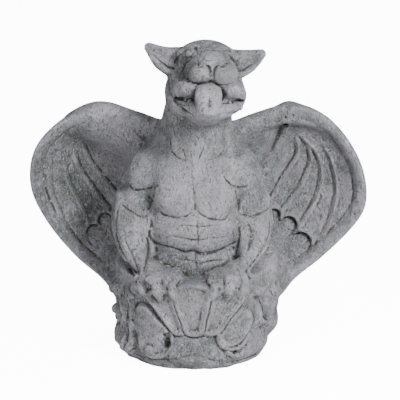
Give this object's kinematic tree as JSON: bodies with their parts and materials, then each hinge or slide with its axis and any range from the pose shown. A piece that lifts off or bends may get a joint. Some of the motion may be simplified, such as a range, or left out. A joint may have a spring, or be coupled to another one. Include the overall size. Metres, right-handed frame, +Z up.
{
  "type": "stone gargoyle",
  "caption": "Cast stone gargoyle: a winged beast's bust, its tongue out, that crouches on a round rock and grips a fan of shell-like lobes.",
  "frame": {"origin": "middle of the outer size, at the flat underside that it stands on", "axes": "+Z up; the beast looks along -Y; +X to the right as seen from the front"},
  "size_m": [0.4604, 0.2234, 0.4372],
  "materials": {
    "cast_stone": "matt, weathered grey cast stone with darker crevices"
  },
  "bodies": {
    "root": {"gargoyle": "cast_stone"}
  },
  "joints": []
}
